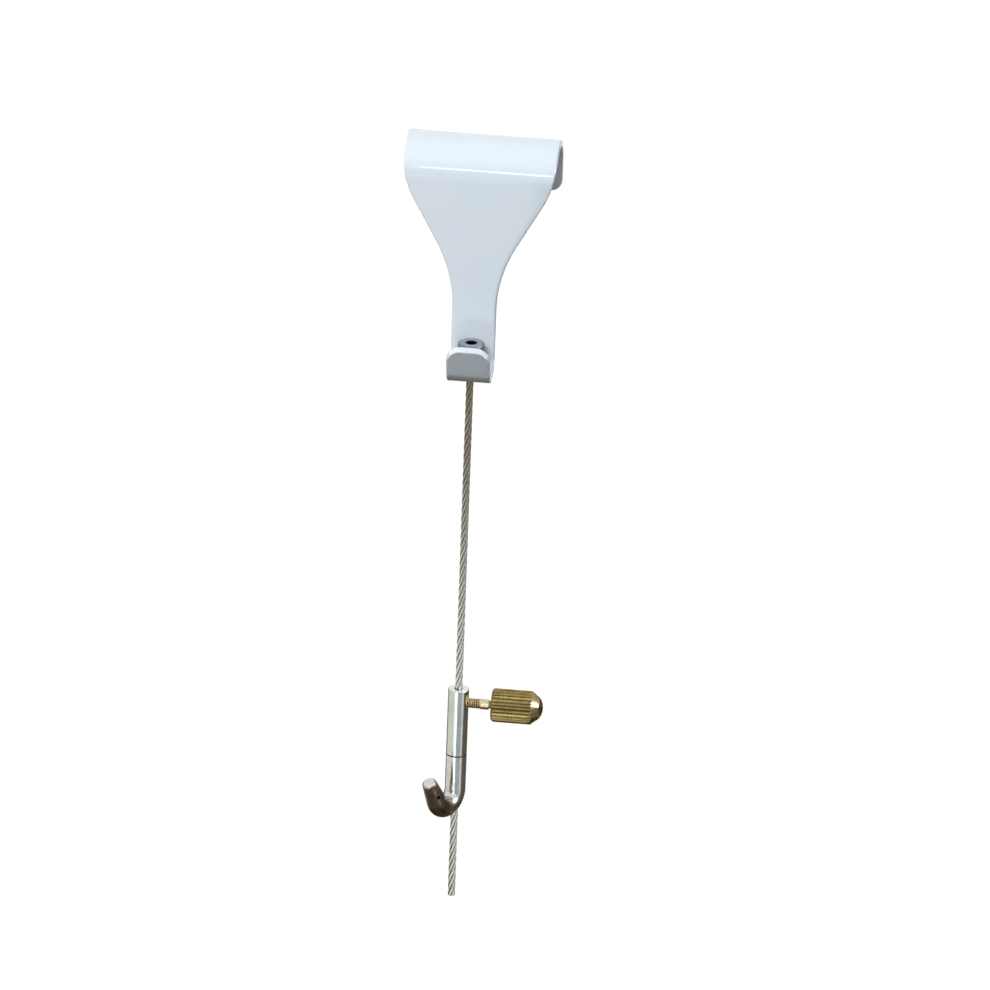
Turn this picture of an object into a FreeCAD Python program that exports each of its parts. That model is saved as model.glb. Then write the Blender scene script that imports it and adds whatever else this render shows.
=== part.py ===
"""Picture rail hook with a hanging wire and a sliding hook, in millimetres.

X runs along the arch's width, +Y points to the back and +Z up. The origin is the
inside of the arch's crown, at the middle of its width.
"""

import FreeCAD, Part
import math
import os

V = FreeCAD.Vector
UP = V(0, 0, 1)

# Rail hook: one strip of steel, cut to a spade outline and folded
STRIP = 2.0              # thickness of the strip
ARCH_WIDTH = 40.0        # width of the strip over the arch
NECK_WIDTH = 11.5        # width of the leg below the taper
RAIL_GAP = 15.0          # inside width of the arch
HOOK_DROP = 47.7         # from the arch's centre down to the lower fold's centre
BACK_LEG = 7.0           # straight part of the leg at the back
BACK_CORNER = 3.0        # rounded corners of the back leg
SHOULDER_RISE = 6.5      # the taper starts this far above the arch's centre
SHOULDER_RADIUS = 25.0   # outward curve at the top of the taper
WAIST_RADIUS = 37.0      # inward curve at the bottom of the taper
TAPER_ANGLE = 29.0       # slope of the straight run between them, from upright
TAB_LENGTH = 8.1         # straight part of the tab above the lower fold
TAB_LEAN = 22.0          # the tab leans this far forward
TAB_CORNER = 4.3         # rounded corners of the tab
CABLE_HOLE = 3.0         # hole for the cable in the lower fold
EDGE_BREAK = 0.3         # bevel along all the strip's edges

# Cable and the stop pressed on its top end
CABLE_DIAMETER = 2.0
CABLE_LENGTH = 155.0
STOP_DIAMETER = 7.0
STOP_HEIGHT = 7.3
STOP_CHAMFER = 1.0       # at the foot, which sits in the fold
STOP_EDGE = 0.3          # at the top rim
STOP_RECESS = 2.9        # diameter of the recess above the cable's end
STOP_RECESS_DEPTH = 2.2
STOP_PLAY = 0.3          # gap on each side between the stop and the fold
SEAT_PLAY = 0.05         # gap between the stop's foot and the fold
GRIP_PLAY = 0.02         # gap between the cable and the stop's bore

# Slider: barrel, bent hook and thumb screw
SLIDER_DROP = 87.0       # from the lower fold's underside to the barrel's top
HOOK_TURN = -119.0       # the hook's direction about the cable, from the thumb screw's
BARREL_DIAMETER = 5.5
BARREL_LENGTH = 18.6
BARREL_EDGE = 0.25       # chamfer on the top rim
SEAM_EDGE = 0.12         # chamfer on both rims of the seam
SLIDE_PLAY = 0.1         # gap between the cable and the slider's bore
SPIGOT_DIAMETER = 3.9    # the hook's spigot inside the barrel
SPIGOT_LENGTH = 5.0
SPIGOT_PLAY = 0.02
SHANK_LENGTH = 9.7       # the hook's straight part below the seam
BEND_RADIUS = 4.2        # to the rod's centre line
BEND_ANGLE = 150.0
PRONG_LENGTH = 8.5
PRONG_TIP_DIAMETER = 3.9
PRONG_CHAMFER = 0.5

SCREW_DROP = 4.0         # from the barrel's top to the thumb screw's axis
SCREW_DIAMETER = 2.8
SCREW_PLAY = 0.05        # gap round the screw, and between its point and the cable
SCREW_POINT = 0.4        # chamfer at its point
SCREW_REACH = 5.4        # plain length between the barrel and the knob's neck
NECK_GROOVE_LENGTH = 0.8
NECK_GROOVE_DIAMETER = 2.0
KNOB_DIAMETER = 8.9
KNOB_LENGTH = 10.4
KNOB_EDGE = 0.3
KNOB_CONE_LENGTH = 2.2
KNOB_CONE_END = 5.6      # diameter where the cone meets the dome
KNOB_DOME = 0.9
KNURL_TEETH = 26
KNURL_DEPTH = 0.35

# Places that follow from those sizes
ARCH_INNER = RAIL_GAP / 2
ARCH_OUTER = ARCH_INNER + STRIP
ARCH_Z = -ARCH_INNER
FOLD_INNER = STOP_DIAMETER / 2 + STOP_PLAY
FOLD_OUTER = FOLD_INNER + STRIP
FOLD_Z = ARCH_Z - HOOK_DROP
FOLD_UNDERSIDE = FOLD_Z - FOLD_OUTER
CABLE_Y = -(ARCH_OUTER + FOLD_INNER)
CABLE_RADIUS = CABLE_DIAMETER / 2
STOP_RADIUS = STOP_DIAMETER / 2
STOP_SHOULDER_DROP = math.sqrt(FOLD_INNER ** 2 - STOP_RADIUS ** 2)
STOP_FOOT = FOLD_Z - STOP_SHOULDER_DROP - STOP_CHAMFER + SEAT_PLAY
STOP_TOP = STOP_FOOT + STOP_HEIGHT
CABLE_TOP = STOP_TOP - STOP_RECESS_DEPTH
SLIDER_TOP = FOLD_UNDERSIDE - SLIDER_DROP
BARREL_RADIUS = BARREL_DIAMETER / 2
SLIDER_BORE = CABLE_RADIUS + SLIDE_PLAY
SEAM_Z = -BARREL_LENGTH
BEND_Z = SEAM_Z - SHANK_LENGTH
MARGIN = 1.0             # how far cutting tools run past what they cut


def wire(*edges):
    return Part.Wire([edge.toShape() for edge in edges])


def line(a, b):
    return Part.LineSegment(a, b)


def arc(a, middle, b):
    return Part.Arc(a, middle, b)


def turned(points):
    """A solid of revolution about Z from (radius, height) points."""
    corners = [V(radius, 0, height) for radius, height in points]
    outline = Part.makePolygon(corners + corners[:1])
    return Part.Face(outline).revolve(V(0, 0, 0), UP, 360)


def rod(radius, low, high):
    return Part.makeCylinder(radius, high - low, V(0, 0, low))


def tab_face(radius):
    """Foot and top of the tab's face that leaves the fold at this radius, as (y, z)."""
    lean = math.radians(TAB_LEAN)
    foot_y = CABLE_Y - radius * math.cos(lean)
    foot_z = FOLD_Z - radius * math.sin(lean)
    top_y = foot_y - TAB_LENGTH * math.sin(lean)
    top_z = foot_z + TAB_LENGTH * math.cos(lean)
    return (foot_y, foot_z), (top_y, top_z)


def folded_strip():
    """The strip's side profile, drawn through the wall, at the arch's full width."""
    def at(y, z):
        return V(-ARCH_WIDTH / 2, y, z)

    back_end = ARCH_Z - BACK_LEG
    front_foot, front_top = tab_face(FOLD_OUTER)
    inner_foot, inner_top = tab_face(FOLD_INNER)
    profile = wire(
        line(at(ARCH_INNER, back_end), at(ARCH_INNER, ARCH_Z)),
        arc(at(ARCH_INNER, ARCH_Z), at(0, ARCH_Z + ARCH_INNER), at(-ARCH_INNER, ARCH_Z)),
        line(at(-ARCH_INNER, ARCH_Z), at(-ARCH_INNER, FOLD_Z)),
        arc(at(-ARCH_INNER, FOLD_Z), at(CABLE_Y, FOLD_UNDERSIDE), at(*front_foot)),
        line(at(*front_foot), at(*front_top)),
        line(at(*front_top), at(*inner_top)),
        line(at(*inner_top), at(*inner_foot)),
        arc(at(*inner_foot), at(CABLE_Y, FOLD_Z - FOLD_INNER), at(-ARCH_OUTER, FOLD_Z)),
        line(at(-ARCH_OUTER, FOLD_Z), at(-ARCH_OUTER, ARCH_Z)),
        arc(at(-ARCH_OUTER, ARCH_Z), at(0, ARCH_Z + ARCH_OUTER), at(ARCH_OUTER, ARCH_Z)),
        line(at(ARCH_OUTER, ARCH_Z), at(ARCH_OUTER, back_end)),
        line(at(ARCH_OUTER, back_end), at(ARCH_INNER, back_end)),
    )
    return Part.Face(profile).extrude(V(ARCH_WIDTH, 0, 0))


def spade_half(side):
    """Edges of one side of the spade outline, from the crown to the fold."""
    slope = math.radians(TAPER_ANGLE)
    inset = (ARCH_WIDTH - NECK_WIDTH) / 2
    curves = SHOULDER_RADIUS + WAIST_RADIUS
    straight = (inset - curves * (1 - math.cos(slope))) / math.sin(slope)

    def at(half_width, z):
        return V(side * half_width, 0, z)

    def on_shoulder(angle):
        half_width = ARCH_WIDTH / 2 - SHOULDER_RADIUS * (1 - math.cos(angle))
        return half_width, shoulder_z - SHOULDER_RADIUS * math.sin(angle)

    def on_waist(angle):
        half_width = NECK_WIDTH / 2 + WAIST_RADIUS * (1 - math.cos(angle))
        return half_width, waist_z + WAIST_RADIUS * math.sin(angle)

    shoulder_z = ARCH_Z + SHOULDER_RISE
    waist_z = shoulder_z - curves * math.sin(slope) - straight * math.cos(slope)
    top = at(ARCH_WIDTH / 2, STRIP + MARGIN)
    bottom = at(NECK_WIDTH / 2, FOLD_UNDERSIDE - MARGIN)
    edges = [
        line(top, at(*on_shoulder(0))),
        arc(at(*on_shoulder(0)), at(*on_shoulder(slope / 2)), at(*on_shoulder(slope))),
        line(at(*on_shoulder(slope)), at(*on_waist(slope))),
        arc(at(*on_waist(slope)), at(*on_waist(slope / 2)), at(*on_waist(0))),
        line(at(*on_waist(0)), bottom),
    ]
    return edges, top, bottom


def spade_blank():
    """The spade outline in front of the crown, and the plain back leg behind it."""
    right, right_top, right_bottom = spade_half(1)
    left, left_top, left_bottom = spade_half(-1)
    across = [line(right_bottom, left_bottom), line(left_top, right_top)]
    outline = Part.Wire(Part.__sortEdges__([edge.toShape() for edge in right + left + across]))
    tab_top_y = tab_face(FOLD_OUTER)[1][0]
    front = Part.Face(outline).extrude(V(0, tab_top_y - MARGIN, 0))
    back_low = ARCH_Z - BACK_LEG - MARGIN
    back = Part.makeBox(ARCH_WIDTH, ARCH_OUTER + MARGIN, STRIP + MARGIN - back_low,
                        V(-ARCH_WIDTH / 2, 0, back_low))
    return front.fuse(back)


def corner_edges(shape, half_width, y, z):
    """The two edges through the strip's wall at one end, known by their middles."""
    middles = [V(half_width, y, z), V(-half_width, y, z)]
    return [edge for edge in shape.Edges
            if any(edge.CenterOfMass.isEqual(middle, 1e-4) for middle in middles)]


def sharp_edges(shape):
    """The edges where two faces of the strip meet square."""
    found = []
    for edge in shape.Edges:
        point = edge.valueAt((edge.FirstParameter + edge.LastParameter) / 2)
        faces = shape.ancestorsOfType(edge, Part.Face)
        normals = [face.normalAt(*face.Surface.parameter(point)) for face in faces]
        if abs(normals[0].dot(normals[-1])) < 0.5:
            found.append(edge)
    return found


def rail_hook():
    hook = folded_strip().common(spade_blank()).removeSplitter()
    back_middle = ARCH_INNER + STRIP / 2
    hook = hook.makeFillet(BACK_CORNER, corner_edges(hook, ARCH_WIDTH / 2, back_middle, ARCH_Z - BACK_LEG))
    tab_middle = tab_face(FOLD_INNER + STRIP / 2)[1]
    hook = hook.makeFillet(TAB_CORNER, corner_edges(hook, NECK_WIDTH / 2, *tab_middle))
    hook = hook.makeChamfer(EDGE_BREAK, sharp_edges(hook))
    hole = rod(CABLE_HOLE / 2, FOLD_UNDERSIDE - MARGIN, FOLD_Z)
    hole.translate(V(0, CABLE_Y, 0))
    return hook.cut(hole)


def cable_stop():
    """A turned ferrule with a bevelled foot and a recess over the cable's end."""
    bore = CABLE_RADIUS + GRIP_PLAY
    recess_floor = STOP_TOP - STOP_RECESS_DEPTH
    stop = turned([
        (bore, STOP_FOOT),
        (STOP_RADIUS - STOP_CHAMFER, STOP_FOOT),
        (STOP_RADIUS, STOP_FOOT + STOP_CHAMFER),
        (STOP_RADIUS, STOP_TOP - STOP_EDGE),
        (STOP_RADIUS - STOP_EDGE, STOP_TOP),
        (STOP_RECESS / 2, STOP_TOP),
        (STOP_RECESS / 2, recess_floor),
        (bore, recess_floor),
    ])
    stop.translate(V(0, CABLE_Y, 0))
    return stop


def cable():
    tube = rod(CABLE_RADIUS, CABLE_TOP - CABLE_LENGTH, CABLE_TOP)
    tube.translate(V(0, CABLE_Y, 0))
    return tube


def on_the_cable(shape):
    """Set a slider piece, made about Z, at its height on the cable."""
    shape.translate(V(0, CABLE_Y, SLIDER_TOP))
    return shape


def slider_barrel():
    socket = SPIGOT_DIAMETER / 2 + SPIGOT_PLAY
    socket_end = SEAM_Z + SPIGOT_LENGTH
    barrel = turned([
        (SLIDER_BORE, 0),
        (BARREL_RADIUS - BARREL_EDGE, 0),
        (BARREL_RADIUS, -BARREL_EDGE),
        (BARREL_RADIUS, SEAM_Z + SEAM_EDGE),
        (BARREL_RADIUS - SEAM_EDGE, SEAM_Z),
        (socket, SEAM_Z),
        (socket, socket_end),
        (SLIDER_BORE, socket_end),
    ])
    tapped_hole = Part.makeCylinder(SCREW_DIAMETER / 2 + SCREW_PLAY, BARREL_DIAMETER,
                                    V(0, 0, -SCREW_DROP), V(1, 0, 0))
    return on_the_cable(barrel.cut(tapped_hole))


def hook_bend():
    """The rod's round section turned about the bend's axis, in the XZ plane."""
    section = Part.Face(Part.Wire(Part.makeCircle(BARREL_RADIUS, V(0, 0, BEND_Z), UP)))
    return section.revolve(V(BEND_RADIUS, 0, BEND_Z), V(0, -1, 0), BEND_ANGLE)


def hook_prong():
    """The tapered end of the rod, with a bevelled tip, along the bend's end."""
    tip = PRONG_TIP_DIAMETER / 2
    prong = turned([
        (0, 0),
        (BARREL_RADIUS, 0),
        (tip, PRONG_LENGTH - PRONG_CHAMFER),
        (tip - PRONG_CHAMFER, PRONG_LENGTH),
        (0, PRONG_LENGTH),
    ])
    prong.rotate(V(0, 0, 0), V(1, 0, 0), 180)
    prong.translate(V(0, 0, BEND_Z))
    prong.rotate(V(BEND_RADIUS, 0, BEND_Z), V(0, -1, 0), BEND_ANGLE)
    return prong


def slider_hook():
    shank = turned([
        (0, SEAM_Z + SPIGOT_LENGTH - SPIGOT_PLAY),
        (SPIGOT_DIAMETER / 2, SEAM_Z + SPIGOT_LENGTH - SPIGOT_PLAY),
        (SPIGOT_DIAMETER / 2, SEAM_Z),
        (BARREL_RADIUS - SEAM_EDGE, SEAM_Z),
        (BARREL_RADIUS, SEAM_Z - SEAM_EDGE),
        (BARREL_RADIUS, BEND_Z),
        (0, BEND_Z),
    ])
    hook = shank.fuse([hook_bend(), hook_prong()]).removeSplitter()
    lowest = BEND_Z - BEND_RADIUS - BARREL_DIAMETER
    hook = hook.cut(rod(SLIDER_BORE, lowest, 0))
    hook.rotate(V(0, 0, 0), UP, HOOK_TURN)
    return on_the_cable(hook)


def knurled_bar(start, end):
    """A bar along Z with straight V-shaped knurling."""
    corners = []
    for step in range(2 * KNURL_TEETH):
        radius = KNOB_DIAMETER / 2 - (step % 2) * KNURL_DEPTH
        angle = math.pi * step / KNURL_TEETH
        corners.append(V(radius * math.cos(angle), radius * math.sin(angle), start))
    outline = Part.makePolygon(corners + corners[:1])
    return Part.Face(outline).extrude(V(0, 0, end - start))


def knob_envelope(start):
    """The knob's turned outline: a bevelled back, a cone and a low dome."""
    radius = KNOB_DIAMETER / 2
    cone = start + KNOB_LENGTH
    dome = cone + KNOB_CONE_LENGTH
    dome_edge = KNOB_CONE_END / 2
    dome_radius = (dome_edge ** 2 + KNOB_DOME ** 2) / (2 * KNOB_DOME)
    middle = math.asin(dome_edge / dome_radius) / 2
    dome_top = dome + KNOB_DOME
    over = V(dome_radius * math.sin(middle), 0, dome_top - dome_radius * (1 - math.cos(middle)))
    outline = wire(
        line(V(0, 0, start), V(radius - KNOB_EDGE, 0, start)),
        line(V(radius - KNOB_EDGE, 0, start), V(radius, 0, start + KNOB_EDGE)),
        line(V(radius, 0, start + KNOB_EDGE), V(radius, 0, cone)),
        line(V(radius, 0, cone), V(dome_edge, 0, dome)),
        arc(V(dome_edge, 0, dome), over, V(0, 0, dome_top)),
        line(V(0, 0, dome_top), V(0, 0, start)),
    )
    return Part.Face(outline).revolve(V(0, 0, 0), UP, 360), dome_top


def thumb_screw():
    """Shank, neck groove and knurled knob, turned along Z and then laid along X."""
    point = CABLE_RADIUS + SCREW_PLAY
    neck = BARREL_RADIUS + SCREW_REACH
    knob_start = neck + NECK_GROOVE_LENGTH
    radius = SCREW_DIAMETER / 2
    shank = turned([
        (0, point),
        (radius - SCREW_POINT, point),
        (radius, point + SCREW_POINT),
        (radius, neck),
        (NECK_GROOVE_DIAMETER / 2, neck),
        (NECK_GROOVE_DIAMETER / 2, knob_start),
        (0, knob_start),
    ])
    envelope, knob_end = knob_envelope(knob_start)
    knob = knurled_bar(knob_start, knob_end).common(envelope)
    screw = shank.fuse(knob)
    screw.rotate(V(0, 0, 0), V(0, 1, 0), 90)
    screw.translate(V(0, 0, -SCREW_DROP))
    return on_the_cable(screw)


PIECES = {
    "rail_hook": rail_hook,
    "cable_stop": cable_stop,
    "cable": cable,
    "slider_barrel": slider_barrel,
    "slider_hook": slider_hook,
    "thumb_screw": thumb_screw,
}

os.makedirs("parts", exist_ok=True)
for name, build in PIECES.items():
    build().exportStep("parts/" + name + ".step")
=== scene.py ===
"""The looks of a picture rail hook with a hanging wire rope and a sliding hook.

Places are in metres, in the part's own frame: X along the arch's width, +Y to
the back and +Z up, with the origin inside the arch's crown.
"""

import bmesh
import bpy
import math
from mathutils import Matrix, Vector


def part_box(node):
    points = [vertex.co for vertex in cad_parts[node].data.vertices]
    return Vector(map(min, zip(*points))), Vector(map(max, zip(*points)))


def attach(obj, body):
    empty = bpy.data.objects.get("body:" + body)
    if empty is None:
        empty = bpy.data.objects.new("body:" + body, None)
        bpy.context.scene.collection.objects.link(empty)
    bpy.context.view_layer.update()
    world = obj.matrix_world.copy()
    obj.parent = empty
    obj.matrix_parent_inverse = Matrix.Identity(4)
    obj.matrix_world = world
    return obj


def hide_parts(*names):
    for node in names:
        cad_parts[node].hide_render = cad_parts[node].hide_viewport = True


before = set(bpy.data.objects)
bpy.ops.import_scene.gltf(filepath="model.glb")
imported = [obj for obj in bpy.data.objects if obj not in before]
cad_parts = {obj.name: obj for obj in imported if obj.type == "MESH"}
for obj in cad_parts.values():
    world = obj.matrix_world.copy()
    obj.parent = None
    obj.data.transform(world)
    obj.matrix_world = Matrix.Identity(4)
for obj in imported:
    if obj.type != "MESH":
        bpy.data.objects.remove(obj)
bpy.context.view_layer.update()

MM = 0.001
TURN = 2 * math.pi
QUARTER = math.pi / 2
WELD = 1e-7                 # points closer than this are one point
SLIVER = 2e-6               # a cut's faces thinner than this are closed up
CREASE = math.radians(38)
SCREW_CREASE = math.radians(30)

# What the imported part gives
hook_low, hook_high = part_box("rail_hook")
stop_low, stop_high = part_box("cable_stop")
cable_low, cable_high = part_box("cable")
barrel_low, barrel_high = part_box("slider_barrel")
screw_low, screw_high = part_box("thumb_screw")
CABLE_Y = (cable_low.y + cable_high.y) / 2
CABLE_DIAMETER = cable_high.x - cable_low.x
CABLE_RADIUS = CABLE_DIAMETER / 2
CABLE_TOP = cable_high.z
CABLE_END = cable_low.z
ARCH_WIDTH = hook_high.x - hook_low.x
FOLD_UNDERSIDE = hook_low.z
STOP_RADIUS = (stop_high.x - stop_low.x) / 2
STOP_FOOT = stop_low.z
STOP_TOP = stop_high.z
BARREL_RADIUS = (barrel_high.x - barrel_low.x) / 2
SLIDER_TOP = barrel_high.z
SEAM_Z = barrel_low.z
SCREW_END = screw_low.x
SCREW_Z = (screw_low.z + screw_high.z) / 2
KNOB_RADIUS = (screw_high.z - screw_low.z) / 2
CABLE_AXIS = Vector((0, CABLE_Y, 0))
SCREW_AXIS = Vector((0, CABLE_Y, SCREW_Z))

# Rail hook
STRIP = 2.0 * MM
EDGE_ROUND = 0.45 * MM
NECK_WIDTH = 11.5 * MM
BACK_LEG = 7.0 * MM
BACK_CORNER = 3.0 * MM
ARCH_INNER = 7.5 * MM
ARCH_Z = -ARCH_INNER
SHOULDER_Z = ARCH_Z + 6.5 * MM
SHOULDER_RADIUS = 25.0 * MM
WAIST_RADIUS = 37.0 * MM
TAPER = math.radians(29.0)
FOLD_INNER = 3.8 * MM
FOLD_Z = FOLD_UNDERSIDE + FOLD_INNER + STRIP
TAB_LENGTH = 8.1 * MM
TAB_LEAN = math.radians(22.0)
TAB_CORNER = 4.3 * MM
CABLE_HOLE = 3.0 * MM       # diameter

# Stop
STOP_CHAMFER = 1.0 * MM
STOP_RECESS = 2.9 * MM      # diameter
STOP_FOOT_ROUND = 0.15 * MM
STOP_RIM_ROUND = 0.35 * MM
STOP_MOUTH_ROUND = 0.2 * MM
GRIP_PLAY = 0.02 * MM

# Slider
SLIDER_BORE = CABLE_RADIUS + 0.1 * MM       # radius
BORE_ROUND = 0.12 * MM
BARREL_ROUND = 0.25 * MM
SPIGOT_RADIUS = 1.95 * MM
SPIGOT_LENGTH = 5.0 * MM
SPIGOT_ROUND = 0.1 * MM
SPIGOT_PLAY = 0.02 * MM
SEAM_EDGE = 0.2 * MM
BEND_Z = SEAM_Z - 9.7 * MM
BEND_RADIUS = 4.2 * MM
BEND_ANGLE = math.radians(150.0)
HOOK_TURN = math.radians(-119.0)
PRONG_START = 0.3 * MM      # of the taper, past the bend
PRONG_LENGTH = 8.5 * MM
PRONG_TIP = 1.95 * MM       # radius
PRONG_CHAMFER = 0.5 * MM
PRONG_ROUND = 0.12 * MM
PIT_DIAMETER = 1.1 * MM
PIT_DEPTH = 1.2 * MM
PIT_REACH = 4.0 * MM        # along the prong
PIT_TURN = math.radians(69.0)

# Thumb screw
SCREW_RADIUS = 1.4 * MM
SCREW_HOLE = SCREW_RADIUS + 0.05 * MM       # radius
SCREW_POINT = 0.4 * MM
SHANK_START = SCREW_END + SCREW_POINT
THREAD_PITCH = 0.5 * MM
THREAD_DEPTH = 0.26 * MM
KNOB_START = BARREL_RADIUS + 6.2 * MM
NECK_START = KNOB_START - 0.8 * MM
THREAD_END = NECK_START - 2.0 * MM
NECK_RADIUS = 1.0 * MM
KNOB_LENGTH = 10.4 * MM
KNOB_BEVEL = 0.5 * MM
CONE_START = KNOB_START + KNOB_LENGTH
CONE_LENGTH = 2.2 * MM
CONE_END = 2.8 * MM         # radius
DOME_RISE = 0.9 * MM
KNURL_TEETH = 26
KNURL_DEPTH = 0.35 * MM

# Wire rope: six strands of six wires round a plain core
STRANDS = 6
WIRES = 6
STRAND_PITCH = 15.0 * MM
WIRE_PITCH = 7.0 * MM
STRAND_SHARE = 3.0          # the rope's diameter over a strand's
WIRE_SHARE = 9.0            # the rope's diameter over a wire's
CORE_SHARE = 4.4            # the rope's diameter over the core's radius
BELOW_FOLD = 6 * CABLE_DIAMETER

# Steps of the meshes
ARCH_STEPS = 60
LEG_STEPS = 72
FOLD_STEPS = 48
EDGE_STEPS = 6
CORNER_STEPS = 8
END_STEPS = 3
FACE_COLUMNS = 24
STOP_SIDES = 64
BARREL_SIDES = 96
ROD_SIDES = 80
BEND_STEPS = 50
PIT_SIDES = 24
SCREW_SIDES = 8 * KNURL_TEETH
SHANK_STEPS = 90
BEVEL_STEPS = 4
KNOB_STEPS = 12
CONE_STEPS = 16
DOME_STEPS = 8
ROPE_POINTS = 261
WIRE_SIDES = 6
CORE_SIDES = 12

# Colours; a pair is the two ends of a blend
COAT_WHITES = (0.745, 0.797, 0.85, 1), (0.765, 0.812, 0.86, 1)
FERRULE_GREYS = (0.33, 0.36, 0.41, 1), (0.44, 0.47, 0.52, 1)
# Painted shade on the ferrule's rim and outer wall
FERRULE_RIM_SHADE = (0.22, 0.23, 0.24, 1)
# Painted shade in the ferrule's recess, nearly black
FERRULE_RECESS_SHADE = (0.004, 0.004, 0.004, 1)
WIRE_STEEL = (0.90, 0.885, 0.85, 1), (0.97, 0.965, 0.955, 1)
# Painted shade: the wire darker and olive towards the top, near the hook
WIRE_TOP_SHADE = (0.30, 0.26, 0.185, 1), (0.46, 0.42, 0.335, 1)
# Painted shade between the strands: paler low down, darker near the top
WIRE_GROOVE_SHADE = (0.46, 0.42, 0.37, 1), (0.17, 0.14, 0.10, 1)
# Painted shade on the wire's end inside the stop's recess
WIRE_CUT_SHADE = (0.01, 0.01, 0.01, 1)
BARREL_PLATE = (0.78, 0.785, 0.77, 1), (0.66, 0.66, 0.60, 1)
HOOK_PLATE = (0.80, 0.80, 0.79, 1), (0.62, 0.63, 0.61, 1)
# Rubbed-through brown with painted shade, for the bend and the prong
HOOK_BARE_AND_SHADE = (0.105, 0.07, 0.034, 1), (0.30, 0.225, 0.125, 1)
SEAM_DIRT = (0.03, 0.028, 0.025, 1)
KNOB_PATINA = (0.29, 0.215, 0.072, 1), (0.43, 0.335, 0.14, 1)
# Painted shade in the knurling
KNURL_GROOVE_SHADE = (0.17, 0.125, 0.045, 1)
CONE_BRASS = (0.29, 0.20, 0.10, 1), (0.41, 0.30, 0.165, 1)
# Painted shade in the thread's groove, then the brass of its crest
SHANK_THREAD_SHADE_AND_BRASS = (0.30, 0.22, 0.10, 1), (0.72, 0.60, 0.38, 1)
WHITE = (1, 1, 1, 1)
BLACK = (0, 0, 0, 1)
FLOOR_PAPER = (0.46, 0.43, 0.38, 1)

# Where the finishes change
# The painted shade on the ferrule's rim starts at this radius
RIM_SHADE_START = 2.7 * MM                    # from the cable's axis
# The painted shade in the recess is full inside the first radius and gone past the second
RECESS_SHADE_EDGE = STOP_RECESS / 2 + 0.02 * MM   # from the cable's axis
RECESS_SHADE_FADE = STOP_RECESS / 2 + 0.22 * MM
# The painted shade between the strands fades out between these radii
STRAND_GROOVE = 0.66 * MM               # from the cable's axis
STRAND_CREST = 0.97 * CABLE_RADIUS
# The painted shade on the wire's end inside the stop
CUT_SHADE_START = CABLE_TOP - 0.5 * MM
CUT_SHADE_FULL = CABLE_TOP - 0.1 * MM
# The painted shade on the wire's top starts here and is full under the fold
TOP_SHADE_START = SLIDER_TOP - 10.0 * MM
SEAM_LINE = 0.10 * MM                   # to each side of the seam
SEAM_FADE = 0.26 * MM
# Rubbed-through brown with painted shade on the hook, lower down and out on the prong
WORN_SHADE_START = BEND_Z + 1.0 * MM
WORN_SHADE_FULL = BEND_Z - 5.0 * MM
WORN_SHADE_REACH = 5.0 * MM                   # from the cable's axis
# The painted highlight on the prong's end face
TIP_HIGHLIGHT_START = -0.32 * MM                  # along the prong, from its end
TIP_HIGHLIGHT_FULL = -0.08 * MM
CONE_EDGE_START = CONE_START - 0.2 * MM
CONE_EDGE_END = CONE_START + 0.3 * MM

# Studio
CAMERA_RISE = math.radians(22.0)
CAMERA_SIDE = math.radians(6.0)
CAMERA_ROLL = math.radians(2.133)
CAMERA_TARGET = Vector((7.333 * MM, -10.0 * MM, -93.841 * MM))
CAMERA_DISTANCE = 3.0
CAMERA_SCALE = 3822.0       # image pixels for each metre at the target
CAMERA_FAR = 100.0
IMAGE_WIDTH = 990
SENSOR = 36.0               # millimetres
WORLD_FILL = 0.06
FLOOR_Z = CABLE_END - 1.2
FLOOR_RADIUS = 7.0
FLOOR_SIDES = 96
FLOOR_GLOW = 0.97
BOARD_RADIUS = 0.45
BOARD_FOOT = CABLE_END - 0.3
BOARD_TOP = SLIDER_TOP + 0.1
BOARD_STEPS = 16
UNDER_BOARD_Z = CABLE_END - 0.2
UNDER_BOARD_RADIUS = 0.29
UNDER_BOARD_SIDES = 48
UNDER_BOARD_BROWN = (0.10, 0.075, 0.042)
LEG_MIDDLE = (0, 0, -0.06)

# Standing boards: name, start and end in degrees to the right of the camera, brightness
BOARDS = (
    ("left_edge_board", -178, -132, (0.10, 0.10, 0.09)),
    ("left_board", -132, -42, (0.72, 0.74, 0.67)),
    ("bright_board", -42, -30, (1.0, 1.02, 1.02)),
    ("window_board", -30, -10, (2.0, 2.05, 2.1)),
    ("blue_board", -10, 40, (0.36, 0.44, 0.48)),
    ("pale_board", 40, 62, (0.72, 0.72, 0.72)),
    ("dark_board", 62, 165, (0.12, 0.095, 0.075)),
)


# Places

def spaced(start, end, steps):
    """Even values from start to end, both of them included."""
    return [start + (end - start) * step / steps for step in range(steps + 1)]


def on_cable(z):
    """A point on the cable's axis."""
    return Vector((0, CABLE_Y, z))


def along_prong(distance):
    """A point on the prong's middle line, before the hook is turned about the cable."""
    end = Vector((1 - math.cos(BEND_ANGLE), 0, -math.sin(BEND_ANGLE))) * BEND_RADIUS
    ahead = Vector((math.sin(BEND_ANGLE), 0, -math.cos(BEND_ANGLE)))
    return Vector((0, 0, BEND_Z)) + end + ahead * distance


def turned_to(direction):
    """A turn that points Z along the direction."""
    return direction.to_track_quat("Z", "Y").to_matrix().to_4x4()


HOOK_PLACE = Matrix.Translation(CABLE_AXIS) @ Matrix.Rotation(HOOK_TURN, 4, "Z")


# Node helpers

def feed(tree, socket, value):
    """Link a socket into another, or set its value."""
    if isinstance(value, bpy.types.NodeSocket):
        tree.links.new(value, socket)
    else:
        socket.default_value = value


def sums(tree, operation, *values):
    """The result of a math node."""
    node = tree.nodes.new("ShaderNodeMath")
    node.operation = operation
    for socket, value in zip(node.inputs, values):
        feed(tree, socket, value)
    return node.outputs[0]


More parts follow.
